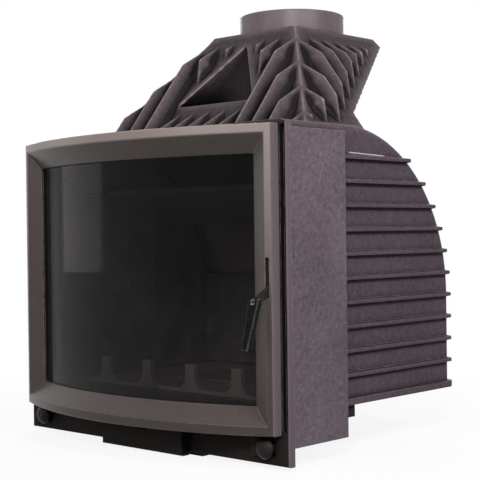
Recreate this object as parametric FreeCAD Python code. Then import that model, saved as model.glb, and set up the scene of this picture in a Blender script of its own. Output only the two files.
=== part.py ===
# Cast-iron fireplace insert: bowed glazed door, finned shell with a quarter-round back, pleated hood.
# Frame: +X right, +Y back, +Z up, in millimetres. The origin is the centre of the ash box underside.
import FreeCAD
import Part
import math
import os

os.makedirs("parts", exist_ok=True)

# Clearances and fits
skin_gap = 0.3
running_fit = 0.05
press_fit = 0.02
screw_play = 0.25

# How far a cutter runs past the face that it opens
over = 1.0

# Front plate: its width and height set those of the door, the shell and the hood
plate_half = 350.0
plate_bottom = 8.0
plate_top = 591.0
plate_thick = 14.0
plate_edge_round = 3.0

# Ash box, which carries the insert, and the drawer in it
ash_box_half = 130.0
ash_box_depth = 336.0
ash_box_wall = 6.0
front_y = -(plate_thick + ash_box_depth / 2.0)
plate_back = front_y + plate_thick
base_bottom = 93.0
base_thick = 12.0
base_top = base_bottom + base_thick

# Bowed door
door_side_gap = 16.0
door_half = plate_half - door_side_gap
door_bottom = 61.2
door_top_gap = 4.4
door_top = plate_top - door_top_gap
door_corner = 22.0
door_gap = 2.0
door_bow = 76.0
door_border = 14.0
door_edge_round = 2.0
rim_side = 10.0
rim_top = 14.5
rim_bottom = 16.5
bevel_depth = 24.0
glass_side_inset = 44.0
glass_half = door_half - glass_side_inset
glass_low_inset = 46.8
glass_bottom = door_bottom + glass_low_inset
glass_high_inset = 49.6
glass_top = door_top - glass_high_inset
glass_overlap = 8.0
glass_thick = 4.0
gasket_thick = 1.0
lip_thick = 3.0
door_radius = (door_half ** 2 + door_bow ** 2) / (2.0 * door_bow)
door_back = front_y - door_gap
door_axis_y = front_y - door_corner - door_bow + door_radius
glass_front_r = door_radius - bevel_depth - lip_thick - gasket_thick
glass_back_r = glass_front_r - glass_thick
seal_width = 8.0
seal_depth = 6.0
seal_inset = 1.0

# Openings in the front plate, and the upright channel beside the door
window_side_inset = 23.0
window_half = door_half - window_side_inset
window_sill = 8.0
window_bottom = base_top + window_sill
window_head = 30.6
window_top = door_top - window_head
channel_gap = 1.5
channel_width = 11.5
channel_depth = 10.0
channel_low_inset = 4.8
channel_bottom = door_bottom + channel_low_inset
channel_high_inset = 0.6
channel_top = door_top - channel_high_inset

# Ash drawer
pan_side_room = 28.0
pan_half = ash_box_half - pan_side_room
pan_side_gap = 4.0
pan_end_gap = 18.0
pan_length = ash_box_depth - pan_end_gap
pan_wall = 2.5
pan_front_lap = 8.0
pan_front_half = pan_half + pan_front_lap
pan_front_thick = 18.0
pan_front_bottom = 2.3
pan_under_door = 5.2
pan_front_top = door_bottom - pan_under_door
pan_below_front = 4.0
pan_top = pan_front_top - pan_below_front
finger_half = 21.0
finger_depth = 15.0

# Air knobs with their fixed lugs, spindles and rotary shutters
knob_inset = 48.0
knob_x = plate_half - knob_inset
knob_radius = 19.0
knob_under_door = 4.2
knob_z = door_bottom - knob_under_door - knob_radius
knob_stand = 7.0
knob_edge = 4.0
knob_dome = 8.0
lug_left = 34.0
lug_right = 7.0
lug_half_height = 15.5
lug_thick = 6.0
spindle_radius = 5.0
shutter_radius = 22.0
shutter_thick = 3.0
port_radius = 6.0
port_circle = 13.0
port_count = 4

# Glass clips and their screws
clip_half = 12.0
clip_reach = -1.0
clip_length = 26.0
clip_thick = 3.0
clip_angles = (-17.0, -6.0, 6.0, 17.0)
screw_radius = 2.5
screw_depth = 5.0
screw_head_radius = 4.5
screw_head_height = 3.0
wrench_flats = 6

# Door hinges
hinge_side = 7.5
hinge_x = -(door_half + hinge_side)
hinge_out = 6.0
hinge_barrel = 5.0
hinge_pin_radius = 2.5
hinge_low = 63.8
hinge_high = 111.6
hinge_heights = (door_bottom + hinge_low, door_top - hinge_high)
hinge_barrel_length = 26.0
bracket_half = 5.0

# Lever handle, its pivot and the latch hook
pivot_out = 9.5
pivot_drop = 1.9
pivot_z = (door_bottom + door_top) / 2.0 - pivot_drop
pivot_radius = 4.0
lever_inset = 8.0
lever_x = door_half - lever_inset
lever_width = 6.0
lever_hub = 6.5
lever_arm = 6.0
knee_out = 26.0
knee_drop = 19.0
knee_z = pivot_z - knee_drop
arm_out = 56.0
arm_drop = 35.0
arm_z = pivot_z - arm_drop
grip_top_half = 12.0
grip_end_half = 7.0
grip_thick = 11.0
grip_end_out = 79.0
grip_drop = 114.0
grip_end_z = pivot_z - grip_drop
grip_shoulder = 1.0
slot_below = 29.0
slot_bottom = pivot_z - slot_below
slot_above = 39.0
slot_top = pivot_z + slot_above
slot_side_gap = 0.6
pocket_left = 24.5
pocket_inner = lever_x - pocket_left
pocket_right = 4.0
pocket_outer = lever_x + pocket_right
pocket_below = 51.0
pocket_bottom = pivot_z - pocket_below
pocket_floor = 16.5
hook_gap = 0.8
hook_inner = pocket_inner + hook_gap
hook_width = 4.6
hook_reach = 35.5
hook_drop = 7.0
hook_arm = 4.5
hook_nose_rise = 6.0
keeper_gap = 1.5
keeper_height = 12.0
keeper_thick = 6.0
keeper_wing = 12.0
bearing_left = 18.0
bearing_inner = lever_x - bearing_left
bearing_right = 7.0
bearing_outer = lever_x - bearing_right
bearing_half = 8.0
bearing_back = 2.5

# Grate and air ducts
grate_side_room = 30.0
grate_half = ash_box_half - grate_side_room
grate_back = 190.0
grate_room = 206.0
grate_depth = ash_box_depth - grate_room
grate_ledge = 8.0
grate_ledge_drop = 6.0
grate_rise = 6.0
grate_slots = 9
grate_bar = 9.0
grate_slot_margin = 14.0
duct_half = 34.0
duct_wall = 5.0
duct_bottom = 9.0
duct_front_depth = 14.0
duct_head = 23.0
duct_shelf = base_bottom - duct_head
duct_length = 183.0
air_slot_half = 15.0
air_slot_front = 110.0
air_slot_back = 180.0

# Side panels
panel_outer = plate_half
panel_thick = 8.0
panel_space = 6.0
panel_bottom = 39.0
panel_top_gap = 10.0
panel_top = plate_top - panel_top_gap
panel_lap = 8.0
panel_back = 160.0
panel_return = 10.0

# Firebox shell with fins
shell_half = panel_outer - panel_thick - panel_space
shell_wall = 8.0
shell_radius = 318.0
shell_centre_back = 190.0
shell_step = 5.0
shell_top = plate_top + shell_step
shell_centre_z = shell_top - shell_radius
shell_corner = 14.0
shell_y = front_y + shell_centre_back
fin_reach = 9.0
fin_root = 11.0
fin_tip = 6.0
fin_corner = 23.0
fin_count = 10
fin_top_drop = 60.0
fin_top = shell_top - fin_top_drop
fin_low_rise = 41.3
fin_low = base_top + fin_low_rise
fin_pitch = (fin_top - fin_low) / (fin_count - 1)
fin_panel_gap = 6.0
fin_start = panel_back + fin_panel_gap
fin_sink = 2.0
vault_split_rise = 22.0
vault_split = shell_centre_z + vault_split_rise
outlet_side = 17.0
outlet_front = 150.0
outlet_back = 300.0

# Inside the firebox
liner_thick = 10.0
liner_front = 62.0
fireback_thick = 11.0
fireback_gap = 3.0
fireback_front = shell_centre_back + shell_radius - shell_wall - fireback_gap - fireback_thick
fireback_rise = 6.0
fireback_top = vault_split + fireback_rise
liner_fireback_gap = 2.0
liner_back = fireback_front - liner_fireback_gap
baffle_front = 190.0
baffle_thick = 10.0
baffle_front_drop = 110.0
baffle_front_z = shell_top - baffle_front_drop
baffle_back_drop = 170.0
baffle_back_z = shell_top - baffle_back_drop
baffle_back_gap = 13.6
baffle_side_gap = 1.0
guard_front = 53.0
guard_thick = 10.0
guard_pitch = 119.0
guard_end = 3.0
guard_half = 2.0 * guard_pitch - guard_end
guard_rise = 53.0
guard_top = base_top + guard_rise
guard_valley_rise = 7.0
guard_valley = base_top + guard_valley_rise
guard_prong = 24.0
guard_valley_round = 22.0
deflector_side_inset = 21.0
deflector_half = window_half - deflector_side_inset
deflector_top_gap = 7.0
deflector_top = plate_top - deflector_top_gap
deflector_drop = 24.0
deflector_reach = 27.0
deflector_thick = 3.0

# Flue collar, and the hood with pleats and a triangular passage
collar_outer = 110.6
collar_wall = 8.1
collar_bore = collar_outer - collar_wall
collar_back = 430.4
collar_height = 43.0
collar_stop_width = 5.5
collar_stop = collar_bore - collar_stop_width
collar_stop_height = 8.0
collar_round = 2.5
hood_wall = 8.0
hood_rise = 202.0
hood_front_slope = 0.79
hood_back_lean = 1.577
hood_side_step = 57.0
hood_base_half = shell_half - hood_side_step
hood_base_front = 137.0
hood_neck_back = 314.0
hood_roof_z = shell_top + hood_rise
hood_roof_margin = 13.5
hood_roof_half = collar_outer + hood_roof_margin
hood_roof_back = 581.0
hood_cap_rise = 18.0
hood_cap_z = hood_roof_z + hood_cap_rise
hood_cap_inset = 12.0
hood_skirt_drop = 46.0
hood_skirt_z = shell_top - hood_skirt_drop
hood_side_slope = (hood_base_half - hood_roof_half) / hood_rise
passage_half = 103.0
passage_base_rise = 64.0
passage_base_z = shell_top + passage_base_rise
passage_height = 124.0
passage_apex_z = passage_base_z + passage_height
passage_round = 5.0
passage_wall = 6.0
passage_border = 15.0
rib_pitch = 42.5
rib_height = 28.0
rib_half = 19.5
rib_rise = 70.0
rib_fall = 55.0
rib_sink = 2.0
rib_back_margin = 13.0
rib_gap_above = 23.0
front_rib_side = int(hood_base_half / rib_pitch)
stub_top_drop = 12.0
side_rib_inset = 26.0
side_rib_first = hood_base_front + side_rib_inset
side_rib_count = 9
collar_top = hood_cap_z + collar_height


def vec(x, y, z):
    return FreeCAD.Vector(x, y, z)


def block(x0, x1, y0, y1, z0, z1):
    return Part.makeBox(x1 - x0, y1 - y0, z1 - z0, vec(x0, y0, z0))


def face_of(points):
    return Part.Face(Part.makePolygon(points + [points[0]]))


def slab_x(outline, x0, x1):
    """Solid from (y, z) corners, run along X."""
    return face_of([vec(x0, y, z) for y, z in outline]).extrude(vec(x1 - x0, 0, 0))


def slab_y(outline, y0, y1):
    """Solid from (x, z) corners, run along Y."""
    return face_of([vec(x, y0, z) for x, z in outline]).extrude(vec(0, y1 - y0, 0))


def slab_z(outline, z0, z1):
    """Solid from (x, y) corners, run along Z."""
    return face_of([vec(x, y, z0) for x, y in outline]).extrude(vec(0, 0, z1 - z0))


def rod_x(x0, x1, y, z, radius):
    return Part.makeCylinder(radius, x1 - x0, vec(x0, y, z), vec(1, 0, 0))


def rod_y(x, y0, y1, z, radius):
    return Part.makeCylinder(radius, y1 - y0, vec(x, y0, z), vec(0, 1, 0))


def rod_z(x, y, z0, z1, radius):
    return Part.makeCylinder(radius, z1 - z0, vec(x, y, z0), vec(0, 0, 1))


def strut(a, b, radius, x0, x1):
    """Round-ended bar between two (y, z) points, as wide as x0 to x1."""
    run = math.hypot(b[0] - a[0], b[1] - a[1])
    side_y = -(b[1] - a[1]) / run * radius
    side_z = (b[0] - a[0]) / run * radius
    body = slab_x([(a[0] + side_y, a[1] + side_z), (b[0] + side_y, b[1] + side_z),
                   (b[0] - side_y, b[1] - side_z), (a[0] - side_y, a[1] - side_z)], x0, x1)
    return body.fuse([rod_x(x0, x1, a[0], a[1], radius), rod_x(x0, x1, b[0], b[1], radius)])


def mirrored(shape):
    return shape.mirror(vec(0, 0, 0), vec(1, 0, 0))


def rounded(shape, radius, wanted):
    """Fillet the edges for which wanted(edge) is true."""
    return shape.makeFillet(radius, [e for e in shape.Edges if wanted(e)])


def save(name, *solids):
    shapes = [s.removeSplitter() for s in solids]
    shape = shapes[0] if len(shapes) == 1 else Part.makeCompound(shapes)
    shape.exportStep("parts/" + name + ".step")


# Shapes on the bowed door: cylinders about one upright axis far behind the door
def bow(radius, z0, z1):
    return rod_z(0, door_axis_y, z0, z1, radius)


def bow_y(radius, x):
    return door_axis_y - math.sqrt(radius ** 2 - x ** 2)


def bowed_sheet(outer, inner, half, z0, z1):
    front = block(-half, half, front_y - door_corner - 2.0 * door_bow, door_back, z0, z1)
    return bow(outer, z0, z1).cut(bow(inner, z0, z1)).common(front)


def turned(shape, angle):
    copy = shape.copy()
    copy.rotate(vec(0, door_axis_y, 0), vec(0, 0, 1), angle)
    return copy


# Front plate
seal_outer = door_half - seal_inset
seal_inner = seal_outer - seal_width


def seal_ring(y0, y1, clearance):
    outer = block(-seal_outer - clearance, seal_outer + clearance, y0, y1,
                  door_bottom + seal_inset - clearance, door_top - seal_inset + clearance)
    edge = seal_inset + seal_width + clearance
    return outer.cut(block(-seal_inner + clearance, seal_inner - clearance, y0, y1,
                           door_bottom + edge, door_top - edge))


def ports(x, y0, y1):
    centres = [2.0 * math.pi * (k + 0.5) / port_count for k in range(port_count)]
    return [rod_y(x + port_circle * math.cos(a), y0, y1, knob_z + port_circle * math.sin(a), port_radius)
            for a in centres]


def long_hole(middle, width, y0, y1, z0, z1):
    """Upright hole with round ends, cut along Y."""
    radius = width / 2.0
    run = block(middle - radius, middle + radius, y0, y1, z0 + radius, z1 - radius)
    return run.fuse([rod_y(middle, y0, y1, z, radius) for z in (z0 + radius, z1 - radius)])


panel_back_y = front_y + panel_back
side_panel = slab_x([(plate_back, panel_bottom), (panel_back_y, panel_bottom), (panel_back_y, panel_top),
                     (plate_back - panel_lap, panel_top)], panel_outer - panel_thick, panel_outer)


front_plate = block(-plate_half, plate_half, front_y, plate_back, plate_bottom, plate_top)
front_plate = rounded(front_plate, plate_edge_round,
                      lambda e: all(abs(v.Y - front_y) < 0.01 for v in e.Vertexes))
lugs = [block(x - lug_left, x - lug_right, front_y - lug_thick, front_y,
              knob_z - lug_half_height, knob_z + lug_half_height) for x in (-knob_x, knob_x)]
front_plate = front_plate.fuse(lugs)
plate_cuts = [block(-window_half, window_half, front_y - over, plate_back + over,
                    window_bottom, window_top),
              block(-pan_half - pan_side_gap, pan_half + pan_side_gap, front_y - over, plate_back + over,
                    0.0, pan_top + skin_gap),
              seal_ring(front_y - over, front_y + seal_depth, 0.0), side_panel, mirrored(side_panel),
              long_hole(door_half + channel_gap + channel_width / 2.0, channel_width, front_y - over,
                        front_y + channel_depth, channel_bottom, channel_top)]
for x in (-knob_x, knob_x):
    plate_cuts.append(rod_y(x, front_y - over, plate_back + over, knob_z, spindle_radius + running_fit))
    plate_cuts.extend(ports(x, front_y - over, plate_back + over))
save("front_plate", front_plate.cut(plate_cuts))

# Rope seal that the door closes on
save("door_seal", seal_ring(door_back + skin_gap, front_y + seal_depth, 0.0))

# Air knobs and shutters
for side, x in (("left", -knob_x), ("right", knob_x)):
    back = front_y - knob_stand
    edge = back - knob_edge
    crown = edge - knob_dome
    bulge = math.radians(45.0)
    arc = Part.Arc(vec(x, crown, knob_z),
                   vec(x + knob_radius * math.sin(bulge), edge - knob_dome * math.cos(bulge), knob_z),
                   vec(x + knob_radius, edge, knob_z)).toShape()
    rest = Part.makePolygon([vec(x + knob_radius, edge, knob_z), vec(x + knob_radius, back, knob_z),
                             vec(x, back, knob_z), vec(x, crown, knob_z)])
    head = Part.Face(Part.Wire([arc] + rest.Edges)).revolve(vec(x, 0, knob_z), vec(0, 1, 0), 360)
    shutter_y = plate_back + skin_gap
    spindle = rod_y(x, back, shutter_y + shutter_thick, knob_z, spindle_radius)
    save("air_knob_" + side, head.fuse(spindle))
    disc = rod_y(x, shutter_y, shutter_y + shutter_thick, knob_z, shutter_radius)
    bore = rod_y(x, shutter_y, shutter_y + shutter_thick, knob_z, spindle_radius + press_fit)
    save("air_shutter_" + side, disc.cut([bore] + ports(x, shutter_y, shutter_y + shutter_thick)))

# Ash box and drawer
ash_back = plate_back + ash_box_depth
ash_box = block(-ash_box_half, ash_box_half, plate_back, ash_back, 0.0, base_bottom)
ash_box = ash_box.cut(block(-ash_box_half + ash_box_wall, ash_box_half - ash_box_wall, plate_back - over,
                            ash_back - ash_box_wall, ash_box_wall, base_bottom + over))
save("ash_box", ash_box)

pan_floor = ash_box_wall + skin_gap
pan_front_y = front_y - skin_gap
pan = block(-pan_half, pan_half, pan_front_y, pan_front_y + pan_length, pan_floor, pan_top)
pan = pan.cut(block(-pan_half + pan_wall, pan_half - pan_wall, pan_front_y + pan_wall,
                    pan_front_y + pan_length - pan_wall, pan_floor + pan_wall, pan_top + over))
save("ash_pan", pan)

pan_front = block(-pan_front_half, pan_front_half, pan_front_y - pan_front_thick, pan_front_y,
                  pan_front_bottom, pan_front_top)
pan_front = rounded(pan_front, plate_edge_round,
                    lambda e: all(abs(v.Y - pan_front_y + pan_front_thick) < 0.01 for v in e.Vertexes))
finger = block(-finger_half, finger_half, pan_front_y - pan_front_thick - over, pan_front_y - pan_wall,
               pan_front_top - finger_depth, pan_front_top + finger_depth)
finger = rounded(finger, finger_depth / 2.0,
                 lambda e: abs(e.Vertexes[0].X - e.Vertexes[1].X) < 0.01
                 and abs(e.Vertexes[0].Z - e.Vertexes[1].Z) < 0.01)
save("ash_pan_front", pan_front.cut(finger))

# Base plate and grate
base_side = shell_half + fin_reach
base_end = shell_y + shell_radius + fin_reach
base_plate = slab_z([(-shell_half, plate_back), (shell_half, plate_back), (shell_half, panel_back_y),
                     (base_side, panel_back_y), (base_side, base_end), (-base_side, base_end),
                     (-base_side, panel_back_y), (-shell_half, panel_back_y)], base_bottom, base_top)
base_plate = rounded(base_plate, fin_corner,
                     lambda e: abs(abs(e.CenterOfMass.x) - base_side) < 0.01
                     and abs(e.CenterOfMass.y - base_end) < 0.01)
grate_y0 = front_y + grate_back
grate_y1 = grate_y0 + grate_depth
ledge_z = base_top - grate_ledge_drop
base_cuts = [block(-grate_half, grate_half, grate_y0, grate_y1, base_bottom - over, base_top + over),
             block(-grate_half - grate_ledge, grate_half + grate_ledge, grate_y0 - grate_ledge,
                   grate_y1 + grate_ledge, ledge_z, base_top + over)]
for x in (-knob_x, knob_x):
    base_cuts.append(block(x - air_slot_half, x + air_slot_half, front_y + air_slot_front,
                           front_y + air_slot_back, base_bottom - over, base_top + over))
save("base_plate", base_plate.cut(base_cuts))

grate_play = 2.0 * skin_gap
grate_side = grate_half + grate_ledge - grate_play
grate_front = grate_y0 - grate_ledge + grate_play
grate_end = grate_y1 + grate_ledge - grate_play
grate = block(-grate_side, grate_side, grate_front, grate_end, ledge_z, base_top + grate_rise)
slot_pitch = (2.0 * grate_half - grate_bar) / grate_slots
for k in range(grate_slots):
    left = -grate_half + grate_bar + k * slot_pitch
    grate = grate.cut(block(left, left + slot_pitch - grate_bar,
                            grate_y0 + grate_slot_margin / 2.0, grate_y1 - grate_slot_margin / 2.0,
                            ledge_z - over, base_top + grate_rise + over))
save("grate", grate)

# Air ducts behind the knobs
duct_front_back = plate_back + duct_front_depth
duct_end = plate_back + duct_length
for side, x in (("left", -knob_x), ("right", knob_x)):
    outside = slab_x([(plate_back, duct_bottom), (duct_front_back, duct_bottom),
                      (duct_front_back, duct_shelf), (duct_end, duct_shelf),
                      (duct_end, base_bottom), (plate_back, base_bottom)],
                     x - duct_half, x + duct_half)
    inside = slab_x([(plate_back - over, duct_bottom + duct_wall),
                     (duct_front_back - duct_wall, duct_bottom + duct_wall),
                     (duct_front_back - duct_wall, duct_shelf + duct_wall),
                     (duct_end - duct_wall, duct_shelf + duct_wall),
                     (duct_end - duct_wall, base_bottom + over), (plate_back - over, base_bottom + over)],
                    x - duct_half + duct_wall, x + duct_half - duct_wall)
    save("air_duct_" + side, outside.cut(inside))


# Firebox shell, made as one finned tub and then parted along its casting joints
def shell_core(radius, half, bottom, start):
    y1 = shell_y + radius
    top = shell_centre_z + radius
    bend = radius * math.sqrt(0.5)
    arc = Part.Arc(vec(-half, shell_y, top), vec(-half, shell_y + bend, shell_centre_z + bend),
                   vec(-half, y1, shell_centre_z)).toShape()
    rest = Part.makePolygon([vec(-half, y1, shell_centre_z), vec(-half, y1, bottom),
                             vec(-half, start, bottom), vec(-half, start, top), vec(-half, shell_y, top)])
    return Part.Face(Part.Wire([arc] + rest.Edges)).extrude(vec(2.0 * half, 0, 0))


def wall_back(z):
    rise = max(0.0, z - shell_centre_z)
    return shell_y + math.sqrt(shell_radius ** 2 - rise ** 2)


def fin_section(z, half, back, corner):
    start = front_y + fin_start
    bend = corner * (1.0 - math.sqrt(0.5))
    side = back - corner
    end = half - corner
    edges = [Part.makeLine(vec(-half, start, z), vec(half, start, z)),
             Part.makeLine(vec(half, start, z), vec(half, side, z)),
             Part.Arc(vec(half, side, z), vec(half - bend, back - bend, z), vec(end, back, z)).toShape(),
             Part.makeLine(vec(end, back, z), vec(-end, back, z)),
             Part.Arc(vec(-end, back, z), vec(bend - half, back - bend, z), vec(-half, side, z)).toShape(),
             Part.makeLine(vec(-half, side, z), vec(-half, start, z))]
    return Part.Wire(edges)


def fin(z):
    reach = wall_back(z) + fin_reach
    root_half = shell_half - fin_sink
    low = fin_section(z - fin_root / 2.0, root_half, wall_back(z) - fin_sink, shell_corner)
    low_tip = fin_section(z - fin_tip / 2.0, shell_half + fin_reach, reach, fin_corner)
    high_tip = fin_section(z + fin_tip / 2.0, shell_half + fin_reach, reach, fin_corner)
    high = fin_section(z + fin_root / 2.0, root_half, wall_back(z + fin_root) - fin_sink, shell_corner)
    return Part.makeLoft([low, low_tip, high_tip, high], True, True)


shell = shell_core(shell_radius, shell_half, base_top, plate_back)
shell = rounded(shell, shell_corner,
                lambda e: abs(abs(e.CenterOfMass.x) - shell_half) < 0.01 and e.CenterOfMass.y > shell_y
                and all(v.Y > shell_y - 0.01 for v in e.Vertexes)
                and any(v.Y > shell_y + shell_radius - 0.01 for v in e.Vertexes)
                and e.CenterOfMass.z > base_top + over)
shell = shell.fuse([fin(fin_top - k * fin_pitch) for k in range(fin_count)])
inner_half = shell_half - shell_wall
shell_inside = shell_core(shell_radius - shell_wall, inner_half, base_top - over, plate_back - over)
outlet_half = hood_base_half - outlet_side
outlet = block(-outlet_half, outlet_half, front_y + outlet_front, front_y + outlet_back,
               vault_split, shell_top + over)
shell = shell.cut([shell_inside, outlet])
far = base_end + fin_reach
top_of_all = shell_top + fin_reach
left_zone = block(-base_side - over, -inner_half, plate_back, far, base_top, top_of_all)
save("shell_left", shell.common(left_zone))
save("shell_right", shell.common(mirrored(left_zone)))
save("back_wall", shell.common(block(-inner_half, inner_half, shell_y, far, base_top, vault_split)))
save("rear_vault", shell.common(block(-inner_half, inner_half, shell_y, far, vault_split, top_of_all)))
top_zone = block(-inner_half, inner_half, plate_back, shell_y, vault_split, top_of_all)
save("top_plate", shell.common(top_zone))

# Side panels
panel_flange = block(shell_half, panel_outer - panel_thick, panel_back_y - panel_return, panel_back_y,
                     base_top, panel_top)
panel = side_panel.fuse(panel_flange)
save("side_panel_right", panel)
save("side_panel_left", mirrored(panel))

# Firebox lining, baffle, log guard and air-wash deflector
baffle_rise = baffle_back_z + baffle_thick - shell_centre_z
baffle_reach = math.sqrt((shell_radius - shell_wall) ** 2 - baffle_rise ** 2)
baffle_back = shell_centre_back + baffle_reach - baffle_back_gap
baffle_slope = (baffle_back_z - baffle_front_z) / (baffle_back - baffle_front)
liner_end_z = baffle_back_z + baffle_slope * skin_gap
liner = slab_x([(front_y + liner_front, base_top), (front_y + liner_back, base_top),
                (front_y + liner_back, vault_split), (front_y + baffle_back, liner_end_z),
                (front_y + baffle_front, baffle_front_z), (front_y + liner_front, baffle_front_z)],
               inner_half - liner_thick, inner_half)
save("side_liner_right", liner)
save("side_liner_left", mirrored(liner))
baffle_lift = baffle_thick * math.sqrt(1.0 + baffle_slope ** 2)
save("smoke_baffle", slab_x([(front_y + baffle_front, baffle_front_z),
                             (front_y + baffle_back, baffle_back_z),
                             (front_y + baffle_back, baffle_back_z + baffle_lift),
                             (front_y + baffle_front, baffle_front_z + baffle_lift)],
                            -inner_half + baffle_side_gap, inner_half - baffle_side_gap))
fireback_half = inner_half - skin_gap
save("fireback", block(-fireback_half, fireback_half, front_y + fireback_front,
                       front_y + fireback_front + fireback_thick, base_top, fireback_top))

guard_y = front_y + guard_front
guard = block(-guard_half, guard_half, guard_y, guard_y + guard_thick, base_top, guard_top)
valley_half = (guard_pitch - guard_prong) / 2.0
for k in range(-2, 3):
    x = k * guard_pitch
    valley = block(x - valley_half, x + valley_half, guard_y - over, guard_y + guard_thick + over,
                   guard_valley, guard_top + guard_valley_round)
    valley = rounded(valley, guard_valley_round,
                     lambda e: abs(e.Vertexes[0].X - e.Vertexes[1].X) < 0.01
                     and abs(e.Vertexes[0].Z - e.Vertexes[1].Z) < 0.01)
    guard = guard.cut(valley)
save("log_guard", guard)

deflector_low = deflector_top - deflector_drop
save("air_wash_deflector",
     slab_x([(plate_back, deflector_top), (plate_back, deflector_top - deflector_thick),
             (plate_back + deflector_reach, deflector_low), (plate_back + deflector_reach, deflector_low
                                                             + deflector_thick)],
            -deflector_half, deflector_half))


# Hood: leaning box with a triangular passage through it and raised pleats on three sides
hood_roof_front = hood_base_front + hood_front_slope * hood_rise
hood_neck_z = hood_roof_z - (hood_roof_back - hood_neck_back) / hood_back_lean


def hood_ring(z, half, y0, y1):
    return Part.makePolygon([vec(-half, front_y + y0, z), vec(half, front_y + y0, z),
                             vec(half, front_y + y1, z), vec(-half, front_y + y1, z),
                             vec(-half, front_y + y0, z)])


def hood_solid(inset, roof_drop, floor):
    neck_rise = hood_neck_z - shell_top
    neck_half = hood_base_half - hood_side_slope * neck_rise
    neck_front = hood_base_front + hood_front_slope * neck_rise
    roof = hood_roof_z - roof_drop
    rings = [hood_ring(floor, hood_base_half - inset, hood_base_front + inset, hood_neck_back - inset),
             hood_ring(shell_top, hood_base_half - inset, hood_base_front + inset, hood_neck_back - inset),
             hood_ring(hood_neck_z, neck_half - inset, neck_front + inset, hood_neck_back - inset),
             hood_ring(roof, hood_roof_half - inset, hood_roof_front + inset,
                       hood_roof_back - hood_back_lean * roof_drop - inset)]
    if inset == 0.0:
        rings.append(hood_ring(hood_cap_z, hood_roof_half - hood_cap_inset,
                               hood_roof_front + hood_cap_inset, hood_roof_back - hood_cap_inset))
    return Part.makeLoft(rings, True, True)


def passage(offset):
    lean = math.hypot(passage_half, passage_apex_z - passage_base_z) / passage_half
    rise = passage_apex_z - passage_base_z
    apex = passage_apex_z + offset * lean
    base = passage_base_z - offset
    half = passage_half * (apex - base) / rise
    tunnel = slab_y([(-half, base), (half, base), (0.0, apex)], front_y - hood_base_front,
                    front_y + hood_roof_back + hood_base_front)
    return rounded(tunnel, passage_round + offset, lambda e: abs(e.CenterOfMass.z - apex) < 0.01)


def rib(tip, down, out, across, length, falls):
    """Pleat with a pointed tip and a rising crest; one that falls comes back to a point at its end."""
    fall = rib_fall if falls else 0.0
    scale = min(1.0, length / (rib_rise + fall))
    runs = [rib_rise * scale]
    if length - fall * scale > runs[0] + over:
        runs.append(length - fall)
    rows = []
    for run in runs:
        middle = tip + down * run - out * rib_sink
        side = across * (rib_half * scale)
        rows.append((middle - side, middle + out * (rib_height * scale + rib_sink), middle + side))

    def point(end, row):
        return [face_of([end, row[k], row[(k + 1) % 3]]) for k in range(3)]

    faces = point(tip - out * rib_sink, rows[0])
    for near, next_row in zip(rows, rows[1:]):
        faces.append(face_of([near[0], next_row[0], next_row[1], near[1]]))
        faces.append(face_of([near[1], next_row[1], next_row[2], near[2]]))
        faces.append(face_of([near[0], near[2], next_row[2], next_row[0]]))
    if falls:
        faces.extend(point(tip + down * length - out * rib_sink, rows[-1]))
    else:
        faces.append(face_of(list(rows[-1])))
    solid = Part.Solid(Part.Shell(faces))
    return solid if solid.Volume > 0 else solid.reversed()


front_norm = math.hypot(1.0, hood_front_slope)
front_down = vec(0, -hood_front_slope, -1.0) * (1.0 / front_norm)
front_out = vec(0, -1.0, hood_front_slope) * (1.0 / front_norm)
side_norm = math.hypot(1.0, hood_side_slope)
side_down = vec(hood_side_slope, 0, -1.0) * (1.0 / side_norm)
side_out = vec(1.0, 0, hood_side_slope) * (1.0 / side_norm)
passage_slope = (passage_apex_z - passage_base_z) / passage_half
rib_floor = shell_top + skin_gap
below = block(-2.0 * plate_half, 2.0 * plate_half, 2.0 * front_y, far + plate_half, 0.0, rib_floor)


def front_point(x, z):
    return vec(x, front_y + hood_base_front + hood_front_slope * (z - shell_top), z)


def front_rib(x, z_tip, z_end):
    """Pleat on the front slope, between two heights; one that reaches the base is trimmed level with it."""
    falls = z_end > rib_floor
    length = (z_tip - z_end) * front_norm + (0.0 if falls else rib_rise)
    pleat = rib(front_point(x, z_tip), front_down, front_out, vec(1, 0, 0), length, falls)
    return pleat if falls else pleat.cut(below)


pleats = []
stub_tip = passage_base_z - stub_top_drop
for k in range(-front_rib_side, front_rib_side + 1):
    x = k * rib_pitch
    hip_z = min(hood_roof_z, shell_top + (hood_base_half - abs(x)) / hood_side_slope)
    opening_top = passage_apex_z - passage_slope * abs(x) + rib_gap_above
    if abs(x) > passage_half + passage_border:
        pleats.append(front_rib(x, hip_z, rib_floor))
        continue
    pleats.append(front_rib(x, stub_tip, rib_floor))
    if x != 0.0 and opening_top + rib_half < hip_z:
        pleats.append(front_rib(x, hip_z, opening_top))

for k in range(side_rib_count):
    y = side_rib_first + k * rib_pitch
    hip_z = min(hood_roof_z, shell_top + (y - hood_base_front) / hood_front_slope)
    half = hood_base_half - hood_side_slope * (hip_z - shell_top)
    end_z = max(rib_floor, hood_neck_z + (y - hood_neck_back) / hood_back_lean + rib_back_margin)
    pleat = rib(vec(half, front_y + y, hip_z), side_down, side_out, vec(0, 1, 0),
                (hip_z - end_z) * side_norm, True).cut(below)
    pleats.append(pleat)
    pleats.append(mirrored(pleat))

collar_y = front_y + collar_back
seat = shell_core(shell_radius + skin_gap, base_side, vault_split, plate_back)
seat.translate(vec(0, 0, -skin_gap))
hood = hood_solid(0.0, 0.0, hood_skirt_z).fuse(pleats)
hollow = hood_solid(hood_wall, hood_wall, hood_skirt_z - over).cut(passage(passage_wall))
flue_hole = rod_z(0, collar_y, hood_roof_z - hood_wall - over, hood_cap_z + over, collar_bore)
hood = hood.cut([hollow, passage(0.0), flue_hole.cut(passage(passage_wall)), seat])

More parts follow.
